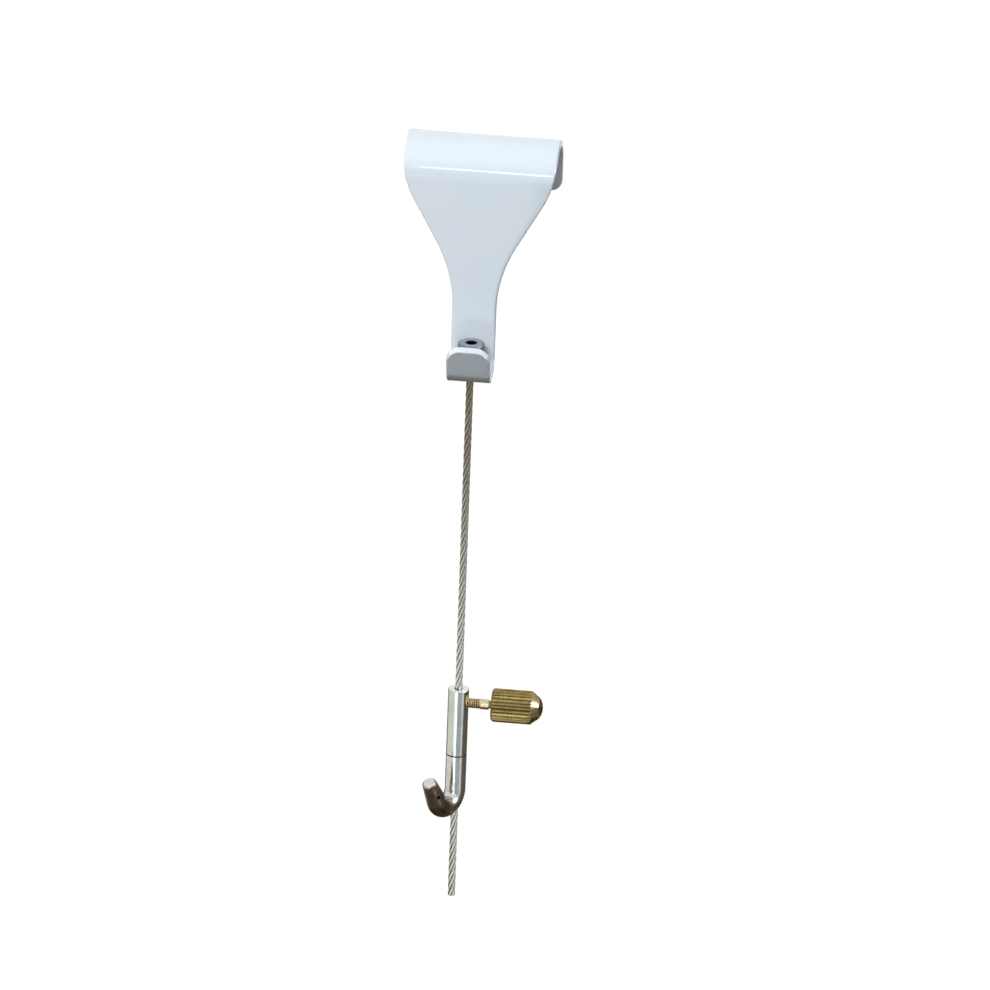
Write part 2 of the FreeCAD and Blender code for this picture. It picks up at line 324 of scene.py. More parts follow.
def vectors(tree, operation, first, second=None, output=0):
    """The result of a vector math node."""
    node = tree.nodes.new("ShaderNodeVectorMath")
    node.operation = operation
    feed(tree, node.inputs[0], first)
    if second is not None:
        feed(tree, node.inputs["Scale" if operation == "SCALE" else 1], second)
    return node.outputs[output]


def ramp(tree, value, start, end, low=0.0, high=1.0, smooth=False):
    """From low to high as the value goes from start to end."""
    node = tree.nodes.new("ShaderNodeMapRange")
    node.interpolation_type = "SMOOTHSTEP" if smooth else "LINEAR"
    limits = {"From Min": start, "From Max": end, "To Min": low, "To Max": high}
    for name, number in limits.items():
        feed(tree, node.inputs[name], number)
    feed(tree, node.inputs["Value"], value)
    return node.outputs["Result"]


def between(tree, mask, low, high):
    """From low to high as the mask goes from 0 to 1."""
    return ramp(tree, mask, 0.0, 1.0, low, high)


def blended(tree, factor, first, second):
    """A colour from the first to the second as the factor goes from 0 to 1."""
    node = tree.nodes.new("ShaderNodeMix")
    node.data_type = "RGBA"
    feed(tree, node.inputs["Factor"], factor)
    feed(tree, node.inputs[6], first)
    feed(tree, node.inputs[7], second)
    return node.outputs[2]


def object_place(tree):
    """Where a point is in the piece's own frame."""
    return tree.nodes.new("ShaderNodeTexCoord").outputs["Object"]


def object_axis(tree, axis):
    """One coordinate of that place."""
    parts = tree.nodes.new("ShaderNodeSeparateXYZ")
    feed(tree, parts.inputs[0], object_place(tree))
    return parts.outputs[axis]


def group_tree(name, kind, inputs, outputs):
    """A node tree with named sockets; returns the tree and its input and output nodes."""
    tree = bpy.data.node_groups.new(name, kind)
    for label, socket_type, default in inputs:
        socket = tree.interface.new_socket(label, in_out="INPUT", socket_type=socket_type)
        if default is not None:
            socket.default_value = default
    for label, socket_type in outputs:
        tree.interface.new_socket(label, in_out="OUTPUT", socket_type=socket_type)
    entry = tree.nodes.new("NodeGroupInput")
    leave = tree.nodes.new("NodeGroupOutput")
    return tree, entry.outputs, leave.inputs


# Shared finishes

def mottle_group():
    """Cloudy patches: a mask from 0 to 1."""
    tree, given, out = group_tree(
        "mottle", "ShaderNodeTree",
        [("Scale", "NodeSocketFloat", 300.0), ("Detail", "NodeSocketFloat", 4.0),
         ("Low", "NodeSocketFloat", 0.4), ("High", "NodeSocketFloat", 0.6)],
        [("Mask", "NodeSocketFloat")])
    noise = tree.nodes.new("ShaderNodeTexNoise")
    feed(tree, noise.inputs["Vector"], object_place(tree))
    feed(tree, noise.inputs["Scale"], given["Scale"])
    feed(tree, noise.inputs["Detail"], given["Detail"])
    feed(tree, out["Mask"], ramp(tree, noise.outputs["Fac"], given["Low"], given["High"]))
    return tree


def grain_group():
    """Fine grain for bump, stretched by a vector."""
    tree, given, out = group_tree(
        "grain", "ShaderNodeTree",
        [("Scale", "NodeSocketFloat", 1000.0),
         ("Stretch", "NodeSocketVector", (1.0, 1.0, 1.0))],
        [("Height", "NodeSocketFloat")])
    place = vectors(tree, "MULTIPLY", object_place(tree), given["Stretch"])
    noise = tree.nodes.new("ShaderNodeTexNoise")
    feed(tree, noise.inputs["Vector"], place)
    feed(tree, noise.inputs["Scale"], given["Scale"])
    noise.inputs["Detail"].default_value = 2.0
    feed(tree, out["Height"], noise.outputs["Fac"])
    return tree


def crest_group():
    """0 in the grooves round an axis and 1 on the crests, by distance from that axis."""
    tree, given, out = group_tree(
        "crest", "ShaderNodeTree",
        [("Centre", "NodeSocketVector", (0.0, 0.0, 0.0)),
         ("Across", "NodeSocketVector", (1.0, 1.0, 0.0)),
         ("Groove", "NodeSocketFloat", 0.8 * MM), ("Crest", "NodeSocketFloat", 1.0 * MM)],
        [("Mask", "NodeSocketFloat")])
    offset = vectors(tree, "SUBTRACT", object_place(tree), given["Centre"])
    across = vectors(tree, "MULTIPLY", offset, given["Across"])
    reach = vectors(tree, "LENGTH", across, output=1)
    feed(tree, out["Mask"], ramp(tree, reach, given["Groove"], given["Crest"], smooth=True))
    return tree


def seam_group():
    """0 on the line where the barrel meets the hook, and 1 away from it."""
    tree, given, out = group_tree(
        "seam", "ShaderNodeTree",
        [("Height", "NodeSocketFloat", SEAM_Z), ("Line", "NodeSocketFloat", SEAM_LINE),
         ("Fade", "NodeSocketFloat", SEAM_FADE)],
        [("Mask", "NodeSocketFloat")])
    offset = sums(tree, "SUBTRACT", object_axis(tree, "Z"), given["Height"])
    away = sums(tree, "ABSOLUTE", offset)
    feed(tree, out["Mask"], ramp(tree, away, given["Line"], given["Fade"], smooth=True))
    return tree


MOTTLE = mottle_group()
GRAIN = grain_group()
CREST = crest_group()
SEAM = seam_group()


def use(tree, group, **values):
    """Place a shared group, and return what it puts out."""
    node = tree.nodes.new("ShaderNodeGroup")
    node.node_tree = group
    for name, value in values.items():
        feed(tree, node.inputs[name], value)
    return node.outputs[0]


def round_cable(tree, groove, crest):
    """The crest mask about the cable."""
    return use(tree, CREST, Centre=CABLE_AXIS, Across=(1, 1, 0), Groove=groove, Crest=crest)


def round_screw(tree, groove, crest):
    """The crest mask about the screw."""
    return use(tree, CREST, Centre=SCREW_AXIS, Across=(0, 1, 1), Groove=groove, Crest=crest)


def seam_dirt(tree, unmarked):
    """The given colour with a dark line along the seam."""
    return blended(tree, use(tree, SEAM), SEAM_DIRT, unmarked)


def finish_material(name, **constants):
    """A material with one Principled shader; returns the material, its tree and the shader."""
    material = bpy.data.materials.new(name)
    material.use_nodes = True
    tree = material.node_tree
    shader = tree.nodes["Principled BSDF"]
    for socket, value in constants.items():
        shader.inputs[socket.replace("_", " ")].default_value = value
    return material, tree, shader


def paint(tree, shader, colour, mask, rough):
    """Feed a colour, and a roughness that goes with a mask."""
    feed(tree, shader.inputs["Base Color"], colour)
    feed(tree, shader.inputs["Roughness"], between(tree, mask, *rough))


def bump(tree, shader, height, distance, strength):
    """Feed a bump from a height."""
    node = tree.nodes.new("ShaderNodeBump")
    node.inputs["Strength"].default_value = strength
    node.inputs["Distance"].default_value = distance
    feed(tree, node.inputs["Height"], height)
    feed(tree, shader.inputs["Normal"], node.outputs["Normal"])


# Materials

def white_coat():
    """Gloss white powder coat with a faint orange peel."""
    material, tree, shader = finish_material(
        "white_coat", Coat_Weight=1.0, Coat_Roughness=0.05, Specular_IOR_Level=0.3)
    cloud = use(tree, MOTTLE, Scale=90.0, Detail=3.0, Low=0.35, High=0.65)
    paint(tree, shader, blended(tree, cloud, *COAT_WHITES), cloud, rough=(0.32, 0.4))
    peel = use(tree, GRAIN, Scale=650.0)
    bump(tree, shader, peel, distance=0.03 * MM, strength=0.35)
    return material


def grey_ferrule():
    """Dull turned grey metal, with painted shade darkening its rim and painting its recess nearly
    black.
    """
    material, tree, shader = finish_material("grey_ferrule", Metallic=0.75)
    cloud = use(tree, MOTTLE, Scale=700.0, Low=0.35, High=0.65)
    # Painted shade: the ferrule's rim and outer wall darker
    rim = round_cable(tree, RIM_SHADE_START, STOP_RADIUS)
    # Painted shade: the recess nearly black
    past_recess_shade = round_cable(tree, RECESS_SHADE_EDGE, RECESS_SHADE_FADE)
    outside = blended(tree, rim, blended(tree, cloud, *FERRULE_GREYS), FERRULE_RIM_SHADE)
    colour = blended(tree, past_recess_shade, FERRULE_RECESS_SHADE, outside)
    paint(tree, shader, colour, cloud, rough=(0.38, 0.55))
    grain = use(tree, GRAIN, Scale=4000.0)
    bump(tree, shader, grain, distance=0.02 * MM, strength=0.4)
    return material


def steel_wire():
    """Drawn steel wire, with painted shade dark between the strands and olive towards the top."""
    material, tree, shader = finish_material("steel_wire", Metallic=1.0)
    crest = round_cable(tree, STRAND_GROOVE, STRAND_CREST)
    height = object_axis(tree, "Z")
    # Painted shade: the wire's end in the stop's recess nearly black
    cut_end_shade = ramp(tree, height, CUT_SHADE_START, CUT_SHADE_FULL)
    # Painted shade: darker and olive towards the top
    top_shade = ramp(tree, height, TOP_SHADE_START, FOLD_UNDERSIDE, smooth=True)
    cloud = use(tree, MOTTLE, Scale=60.0, Detail=5.0, Low=0.3, High=0.7)
    unmarked = blended(tree, cloud, *WIRE_STEEL)
    olive = blended(tree, cloud, *WIRE_TOP_SHADE)
    bright = blended(tree, top_shade, unmarked, olive)
    # Painted shade between the strands
    groove = blended(tree, top_shade, *WIRE_GROOVE_SHADE)
    wires = blended(tree, crest, groove, bright)
    paint(tree, shader, blended(tree, cut_end_shade, wires, WIRE_CUT_SHADE), crest, rough=(0.45, 0.2))
    return material


def nickel_barrel():
    """Bright nickel plate with faint drawn lines and a little tarnish."""
    material, tree, shader = finish_material("nickel_barrel", Metallic=1.0)
    cloud = use(tree, MOTTLE, Scale=320.0, Detail=5.0, Low=0.45, High=0.72)
    plate = blended(tree, cloud, *BARREL_PLATE)
    paint(tree, shader, seam_dirt(tree, plate), cloud, rough=(0.16, 0.24))
    drawn = use(tree, GRAIN, Scale=2600.0, Stretch=(1.0, 1.0, 0.06))
    bump(tree, shader, drawn, distance=0.01 * MM, strength=0.5)
    return material


def nickel_hook():
    """The same plate, rubbed through to brown on the bend and the prong and darkened there by
    painted shade; its end keeps the plate colour as a painted highlight.
    """
    material, tree, shader = finish_material("nickel_hook", Metallic=1.0)
    # Rubbed-through brown with painted shade, lower down and out on the prong
    low_down = ramp(tree, object_axis(tree, "Z"), WORN_SHADE_START, WORN_SHADE_FULL, smooth=True)
    off_axis = round_cable(tree, BARREL_RADIUS, WORN_SHADE_REACH)
    worn_shade_zone = sums(tree, "MAXIMUM", low_down, off_axis)
    cloud = use(tree, MOTTLE, Scale=260.0, Detail=4.0, Low=0.32, High=0.70)
    scuffs = use(tree, MOTTLE, Scale=700.0, Detail=4.0, Low=0.45, High=0.85)
    wear_and_shade = sums(tree, "MULTIPLY", worn_shade_zone, between(tree, cloud, 1.0, 0.65))
    # Painted highlight: the prong's end face keeps the bright plate colour
    tip = HOOK_PLACE @ along_prong(PRONG_LENGTH)
    ahead = (tip - HOOK_PLACE @ along_prong(0)).normalized()
    from_tip = vectors(tree, "SUBTRACT", object_place(tree), tip)
    past_tip = vectors(tree, "DOT_PRODUCT", from_tip, ahead, output=1)
    on_tip = ramp(tree, past_tip, TIP_HIGHLIGHT_START, TIP_HIGHLIGHT_FULL)
    tip_highlight = sums(tree, "MULTIPLY", on_tip, between(tree, cloud, 1.0, 0.45))
    worn_and_shaded = sums(tree, "MULTIPLY", wear_and_shade, sums(tree, "SUBTRACT", 1.0, tip_highlight))
    plate = blended(tree, scuffs, *HOOK_PLATE)
    bare = blended(tree, cloud, *HOOK_BARE_AND_SHADE)
    colour = seam_dirt(tree, blended(tree, worn_and_shaded, plate, bare))
    paint(tree, shader, colour, wear_and_shade, rough=(0.18, 0.36))
    grain = use(tree, GRAIN, Scale=1800.0)
    bump(tree, shader, grain, distance=0.03 * MM, strength=0.4)
    return material


def brass():
    """Turned brass: bright on the shank and olive on the knob, with painted shade in the thread's
    groove and in the knurling.
    """
    material, tree, shader = finish_material("brass", Metallic=1.0)
    along = object_axis(tree, "X")
    on_knob = ramp(tree, along, NECK_START, KNOB_START)
    on_cone = ramp(tree, along, CONE_EDGE_START, CONE_EDGE_END)
    # Painted shade in the knurling
    tooth = round_screw(tree, KNOB_RADIUS - KNURL_DEPTH, KNOB_RADIUS)
    # Painted shade in the thread's groove
    thread = round_screw(tree, SCREW_RADIUS - THREAD_DEPTH, SCREW_RADIUS)
    cloud = use(tree, MOTTLE, Scale=500.0, Detail=5.0, Low=0.35, High=0.65)
    knurl = blended(tree, tooth, KNURL_GROOVE_SHADE, blended(tree, cloud, *KNOB_PATINA))
    knob = blended(tree, on_cone, knurl, blended(tree, cloud, *CONE_BRASS))
    shank = blended(tree, thread, *SHANK_THREAD_SHADE_AND_BRASS)
    paint(tree, shader, blended(tree, on_knob, shank, knob), cloud, rough=(0.2, 0.34))
    grain = use(tree, GRAIN, Scale=3000.0)
    bump(tree, shader, grain, distance=0.015 * MM, strength=0.4)
    return material


# Mesh helpers

def new_object(name, data):
    """An object in the scene, at the origin."""
    piece = bpy.data.objects.new(name, data)
    bpy.context.scene.collection.objects.link(piece)
    return piece


def shade(mesh, crease):
    """Smooth faces, with sharp edges where they meet at more than the crease."""
    for face in mesh.polygons:
        face.use_smooth = True
    mesh.set_sharp_from_angle(angle=crease)


def mesh_from(name, bm, material=None):
    """A welded, outward-facing, smooth object at the origin from a bmesh."""
    bmesh.ops.remove_doubles(bm, verts=bm.verts, dist=WELD)
    bmesh.ops.recalc_face_normals(bm, faces=bm.faces)
    mesh = bpy.data.meshes.new(name)
    bm.to_mesh(mesh)
    bm.free()
    shade(mesh, CREASE)
    if material:
        mesh.materials.append(material)
    return new_object(name, mesh)


def join_rings(bm, rings, closed=False):
    """Faces between rings of points; a ring of one point is a pole.

    Closed joins the last ring to the first.
    """
    following = rings[1:] + rings[:1] if closed else rings[1:]
    for low, high in zip(rings, following):
        count = max(len(low), len(high))
        for index in range(count):
            after = (index + 1) % count
            corners = [low[index % len(low)], low[after % len(low)],
                       high[after % len(high)], high[index % len(high)]]
            bm.faces.new(list(dict.fromkeys(corners)))


def softened(corners, steps=4):
    """Round each corner (radius, height, rounding) of a turned outline."""
    points = [Vector(corner[:2]) for corner in corners]
    outline = []
    for index, (_, _, rounding) in enumerate(corners):
        here = points[index]
        if rounding == 0:
            outline.append(here)
            continue
        before = (points[index - 1] - here).normalized()
        after = (points[(index + 1) % len(points)] - here).normalized()
        half = before.angle(after) / 2
        centre = here + (before + after).normalized() * rounding / math.sin(half)
        start = here + before * rounding / math.tan(half) - centre
        end = here + after * rounding / math.tan(half) - centre
        for step in range(steps + 1):
            outline.append(centre + start.lerp(end, step / steps).normalized() * rounding)
    return outline


def lathe(outline, sides, place, closed=False):
    """Turn (radius, height) points about Z."""
    bm = bmesh.new()
    rings = []
    for radius, height in outline:
        ring = []
        for side in range(sides if radius > WELD else 1):
            angle = TURN * side / sides
            point = Vector((radius * math.cos(angle), radius * math.sin(angle), height))
            ring.append(bm.verts.new(place @ point))
        rings.append(ring)
    join_rings(bm, rings, closed)
    return bm


def bar(radius, start, end, sides=48):
    """A plain round cutter from one point to another."""
    along = end - start
    outline = [(0, 0), (radius, 0), (radius, along.length), (0, along.length)]
    return mesh_from("cutter", lathe(outline, sides, Matrix.Translation(start) @ turned_to(along)))


def evaluated_mesh(piece):
    """A plain mesh of the piece as its modifiers leave it."""
    evaluated = piece.evaluated_get(bpy.context.evaluated_depsgraph_get())
    return bpy.data.meshes.new_from_object(evaluated)


def settle(piece):
    """Keep what the modifiers make as a plain mesh, and drop them."""
    mesh = evaluated_mesh(piece)
    piece.modifiers.clear()
    piece.data = mesh
    mesh.name = piece.name


def drill(piece, *cutters):
    """Cut each cutter out of the piece, and close up the slivers that a cut leaves."""
    for cutter in cutters:
        cut = piece.modifiers.new("hole", "BOOLEAN")
        cut.operation = "DIFFERENCE"
        cut.solver = "EXACT"
        cut.object = cutter
    settle(piece)
    for cutter in cutters:
        bpy.data.objects.remove(cutter)
    bm = bmesh.new()
    bm.from_mesh(piece.data)
    bmesh.ops.remove_doubles(bm, verts=bm.verts, dist=SLIVER)
    bmesh.ops.dissolve_degenerate(bm, edges=bm.edges, dist=SLIVER)
    bm.to_mesh(piece.data)
    bm.free()
    shade(piece.data, CREASE)


def realised(tree, geometry, material):
    """The end of a tree: its instances made real, in the given material."""
    real = tree.nodes.new("GeometryNodeRealizeInstances")
    feed(tree, real.inputs["Geometry"], geometry)
    painted = tree.nodes.new("GeometryNodeSetMaterial")
    feed(tree, painted.inputs["Geometry"], real.outputs["Geometry"])
    feed(tree, painted.inputs["Material"], material)
    return painted.outputs["Geometry"]


def set_inputs(modifier, **values):
    """Set a node modifier's inputs by their sockets' identifiers."""
    for item in modifier.node_group.interface.items_tree:
        key = item.name.replace(" ", "_")
        if item.in_out == "INPUT" and key in values:
            modifier[item.identifier] = values[key]


def dress(piece, body, node):
    """Say which body the piece rides on and which node it replaces."""
    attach(piece, body)
    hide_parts(node)
    return piece


# Rail hook

def inset_at(distance, rounding):
    """How far a rounded corner draws in at this distance from its end."""
    if distance >= rounding:
        return 0.0
    return rounding - math.sqrt(max(rounding ** 2 - (rounding - distance) ** 2, 0.0))


def spade_half(z):
    """Half of the spade outline's width at a height on the front."""
    inset = (ARCH_WIDTH - NECK_WIDTH) / 2
    curves = SHOULDER_RADIUS + WAIST_RADIUS
    straight = (inset - curves * (1 - math.cos(TAPER))) / math.sin(TAPER)
    shoulder_end = SHOULDER_Z - SHOULDER_RADIUS * math.sin(TAPER)
    waist_start = shoulder_end - straight * math.cos(TAPER)
    waist_end = waist_start - WAIST_RADIUS * math.sin(TAPER)
    if z >= SHOULDER_Z:
        return ARCH_WIDTH / 2
    if z >= shoulder_end:
        curve = math.sqrt(SHOULDER_RADIUS ** 2 - (SHOULDER_Z - z) ** 2)
        return ARCH_WIDTH / 2 - SHOULDER_RADIUS + curve
    if z >= waist_start:
        narrowed = SHOULDER_RADIUS * (1 - math.cos(TAPER)) + (shoulder_end - z) * math.tan(TAPER)
        return ARCH_WIDTH / 2 - narrowed
    if z >= waist_end:
        curve = math.sqrt(WAIST_RADIUS ** 2 - (z - waist_end) ** 2)
        return NECK_WIDTH / 2 + WAIST_RADIUS - curve
    return NECK_WIDTH / 2


def end_rows(rounding, length):
    """Distances from a free end of the strip to the rows of its rounded edge and corners."""
    edge = [EDGE_ROUND * (1 - math.cos(angle)) for angle in spaced(0.0, QUARTER, EDGE_STEPS)]
    start = math.acos(1 - EDGE_ROUND / rounding)
    swing = spaced(start, QUARTER, CORNER_STEPS)[1:]
    corner = [rounding * (1 - math.cos(angle)) for angle in swing]
    plain = spaced(rounding, length, END_STEPS)[1:-1]
    return edge + corner + plain


def strip_stations():
    """Middle line of the strip from the back leg's end to the tab's top.

    Each station is a place and a normal in the YZ plane. The normals point out of
    the arch, to the front of the leg and to the inside of the lower fold.
    """
    arch = ARCH_INNER + STRIP / 2
    fold = FOLD_INNER + STRIP / 2
    up = Vector((0, 1))
    stations = []

    def run(start, direction, normal, distances):
        for distance in distances:
            stations.append((start + direction * distance, normal))

    back_end = Vector((arch, ARCH_Z - BACK_LEG))
    run(back_end, up, Vector((1, 0)), end_rows(BACK_CORNER, BACK_LEG))
    for angle in spaced(0.0, math.pi, ARCH_STEPS):
        out = Vector((math.cos(angle), math.sin(angle)))
        stations.append((Vector((0, ARCH_Z)) + out * arch, out))
    leg_rows = spaced(0.0, ARCH_Z - FOLD_Z, LEG_STEPS)[1:-1]
    run(Vector((-arch, ARCH_Z)), -up, Vector((-1, 0)), leg_rows)
    for angle in spaced(0.0, math.pi - TAB_LEAN, FOLD_STEPS):
        out = Vector((math.cos(angle), -math.sin(angle)))
        stations.append((Vector((CABLE_Y, FOLD_Z)) + out * fold, -out))
    tab_foot, tab_normal = stations[-1]
    tab_up = Vector((-math.sin(TAB_LEAN), math.cos(TAB_LEAN)))
    from_top = end_rows(TAB_CORNER, TAB_LENGTH)
    run(tab_foot, tab_up, tab_normal, [TAB_LENGTH - distance for distance in reversed(from_top)])
    return stations


def station_loop(place, normal, to_back_end, to_tab_top):
    """Points round one section of the strip, with rounded edges."""
    half_wall = STRIP / 2 - inset_at(min(to_back_end, to_tab_top), EDGE_ROUND)
    arc = spaced(0.0, QUARTER, EDGE_STEPS)[1:]
    loop = []

    def add(face, across, depth, past):
        """One point: a share of the flat width, a depth under the face and a reach past it."""
        at = place + normal * face * (half_wall - depth)
        half = spade_half(at.y) if at.x < 0 else ARCH_WIDTH / 2
        half -= inset_at(to_back_end, BACK_CORNER) + inset_at(to_tab_top, TAB_CORNER)
        loop.append(Vector((across * (half - EDGE_ROUND) + past, at.x, at.y)))

    for side in (1, -1):
        for across in spaced(-side, side, FACE_COLUMNS):
            add(side, across, 0.0, 0.0)
        for face, angles in ((side, arc), (-side, reversed(arc))):
            for angle in angles:
                depth = EDGE_ROUND * (1 - math.cos(angle))
                add(face, side, depth, side * EDGE_ROUND * math.sin(angle))
    return loop


def rail_hook(material):
    """One strip, folded over at the top and up into a tab, with a hole for the cable."""
    stations = strip_stations()
    lengths = [0.0]
    for (before, _), (here, _) in zip(stations, stations[1:]):
        lengths.append(lengths[-1] + (here - before).length)
    bm = bmesh.new()
    rings = []
    for (place, normal), length in zip(stations, lengths):
        loop = station_loop(place, normal, length, lengths[-1] - length)
        rings.append([bm.verts.new(point) for point in loop])
    join_rings(bm, rings)
    bm.faces.new(rings[0])
    bm.faces.new(rings[-1])
    piece = mesh_from("rail_hook_strip", bm, material)
    drill(piece, bar(CABLE_HOLE / 2, on_cable(FOLD_UNDERSIDE - MM), on_cable(FOLD_Z)))
    return dress(piece, "root", "rail_hook")


# Stop

def cable_stop(material):
    """The ferrule on the cable's top end, with a recess above that end."""
    bore = CABLE_RADIUS + GRIP_PLAY
    outline = softened([
        (bore, STOP_FOOT, 0),
        (STOP_RADIUS - STOP_CHAMFER, STOP_FOOT, STOP_FOOT_ROUND),
        (STOP_RADIUS, STOP_FOOT + STOP_CHAMFER, STOP_FOOT_ROUND),
        (STOP_RADIUS, STOP_TOP, STOP_RIM_ROUND),
        (STOP_RECESS / 2, STOP_TOP, STOP_MOUTH_ROUND),
        (STOP_RECESS / 2, CABLE_TOP, 0),
        (bore, CABLE_TOP, 0),
    ])
    bm = lathe(outline, STOP_SIDES, Matrix.Translation(CABLE_AXIS), closed=True)
    piece = mesh_from("cable_stop_ferrule", bm, material)
    return dress(piece, "root", "cable_stop")


# Cable

def rope_tree():
    """Strands of wires wound round a route, and a core that fills them."""
    tree, given, out = group_tree(
        "wire_rope", "GeometryNodeTree",
        [("Geometry", "NodeSocketGeometry", None),
         ("Diameter", "NodeSocketFloat", CABLE_DIAMETER),
         ("Strands", "NodeSocketInt", STRANDS), ("Wires", "NodeSocketInt", WIRES),
         ("Strand Pitch", "NodeSocketFloat", STRAND_PITCH),
         ("Wire Pitch", "NodeSocketFloat", WIRE_PITCH),
         ("Points", "NodeSocketInt", ROPE_POINTS), ("Material", "NodeSocketMaterial", None)],
        [("Geometry", "NodeSocketGeometry")])
    route = tree.nodes.new("GeometryNodeResampleCurve")
    feed(tree, route.inputs["Curve"], given["Geometry"])
    feed(tree, route.inputs["Count"], given["Points"])
    copies = tree.nodes.new("GeometryNodeDuplicateElements")
    copies.domain = "SPLINE"
    feed(tree, copies.inputs["Geometry"], route.outputs["Curve"])
    feed(tree, copies.inputs["Amount"], sums(tree, "MULTIPLY", given["Strands"], given["Wires"]))
    number = copies.outputs["Duplicate Index"]
    along = tree.nodes.new("GeometryNodeSplineParameter").outputs["Length"]
    strand = sums(tree, "FLOOR", sums(tree, "DIVIDE", number, given["Wires"]))
    wire = sums(tree, "MODULO", number, given["Wires"])
    strand_turn = sums(tree, "ADD", sums(tree, "DIVIDE", strand, given["Strands"]),
                       sums(tree, "DIVIDE", along, given["Strand Pitch"]))
    wire_turn = sums(tree, "SUBTRACT", sums(tree, "DIVIDE", wire, given["Wires"]),
                     sums(tree, "DIVIDE", along, given["Wire Pitch"]))
    strand_angle = sums(tree, "MULTIPLY", strand_turn, TURN)
    wire_angle = sums(tree, "MULTIPLY", sums(tree, "ADD", strand_turn, wire_turn), TURN)
    tangent = tree.nodes.new("GeometryNodeInputTangent").outputs[0]
    normal = tree.nodes.new("GeometryNodeInputNormal").outputs[0]
    aside = vectors(tree, "CROSS_PRODUCT", tangent, normal)

    def around(angle, share):
        """A place at an angle round the route, at a share of the diameter from it."""
        reach = sums(tree, "DIVIDE", given["Diameter"], share)
        cosine = sums(tree, "MULTIPLY", sums(tree, "COSINE", angle), reach)
        sine = sums(tree, "MULTIPLY", sums(tree, "SINE", angle), reach)
        return vectors(tree, "ADD", vectors(tree, "SCALE", normal, cosine),
                       vectors(tree, "SCALE", aside, sine))

    laid = tree.nodes.new("GeometryNodeSetPosition")
    feed(tree, laid.inputs["Geometry"], copies.outputs["Geometry"])
    feed(tree, laid.inputs["Offset"], vectors(tree, "ADD", around(strand_angle, STRAND_SHARE),
                                              around(wire_angle, WIRE_SHARE)))
    joined = tree.nodes.new("GeometryNodeJoinGeometry")
    wires = (laid.outputs["Geometry"], 2 * WIRE_SHARE, WIRE_SIDES)
    core = (route.outputs["Curve"], CORE_SHARE, CORE_SIDES)
    for line, share, sides in (wires, core):
        ring = tree.nodes.new("GeometryNodeCurvePrimitiveCircle")
        ring.inputs["Resolution"].default_value = sides
        feed(tree, ring.inputs["Radius"], sums(tree, "DIVIDE", given["Diameter"], share))
        tube = tree.nodes.new("GeometryNodeCurveToMesh")
        feed(tree, tube.inputs["Curve"], line)
        feed(tree, tube.inputs["Profile Curve"], ring.outputs["Curve"])
        tube.inputs["Fill Caps"].default_value = True
        feed(tree, joined.inputs["Geometry"], tube.outputs["Mesh"])
    smooth = tree.nodes.new("GeometryNodeSetShadeSmooth")
    feed(tree, smooth.inputs["Geometry"], joined.outputs["Geometry"])
    rope = realised(tree, smooth.outputs["Geometry"], given["Material"])
    feed(tree, out["Geometry"], rope)
    return tree


def route_curve(points):
    """The cable's route as one smooth open spline."""
    curve = bpy.data.curves.new("cable_route", "CURVE")
    curve.dimensions = "3D"
    spline = curve.splines.new("NURBS")
    spline.points.add(len(points) - 1)
    for control, point in zip(spline.points, points):
        control.co = (*point, 1.0)
    spline.order_u = 3
    spline.use_endpoint_u = True
    return new_object("cable_route", curve)


def cable(material):
    """The wire rope from inside the stop to its bare end."""
    top = on_cable(CABLE_TOP)
    below_fold = on_cable(FOLD_UNDERSIDE - BELOW_FOLD)
    end = on_cable(CABLE_END)
    route = route_curve([top, below_fold, end])
    line = evaluated_mesh(route)
    wound = route.modifiers.new("wire_rope", "NODES")
    wound.node_group = rope_tree()
    set_inputs(wound, Material=material)
    mesh = evaluated_mesh(route)
    mesh.name = "cable_rope"
    bpy.data.objects.remove(route)
    piece = dress(new_object("cable_rope", mesh), "root", "cable")
    return piece


# Slider

def slider_barrel(material):
    """The sleeve on the cable, with a socket for the hook and a side hole for the screw."""
    socket = SPIGOT_RADIUS + SPIGOT_PLAY
    socket_end = SEAM_Z + SPIGOT_LENGTH
    outline = softened([
        (SLIDER_BORE, SLIDER_TOP, BORE_ROUND),
        (BARREL_RADIUS, SLIDER_TOP, BARREL_ROUND),
        (BARREL_RADIUS, SEAM_Z, SEAM_EDGE),
        (socket, SEAM_Z, 0),
        (socket, socket_end, 0),
        (SLIDER_BORE, socket_end, 0),
    ])
    bm = lathe(outline, BARREL_SIDES, Matrix.Translation(CABLE_AXIS), closed=True)
    piece = mesh_from("slider_barrel_sleeve", bm, material)
    drill(piece, bar(SCREW_HOLE, SCREW_AXIS, SCREW_AXIS + Vector((2 * BARREL_RADIUS, 0, 0))))
    return dress(piece, "slider", "slider_barrel")


def outward(angle, turn):
    """A direction out of the rod's wall at an angle round the bend."""
    return Vector((-math.cos(angle) * math.cos(turn), math.sin(turn),
                   -math.sin(angle) * math.cos(turn)))


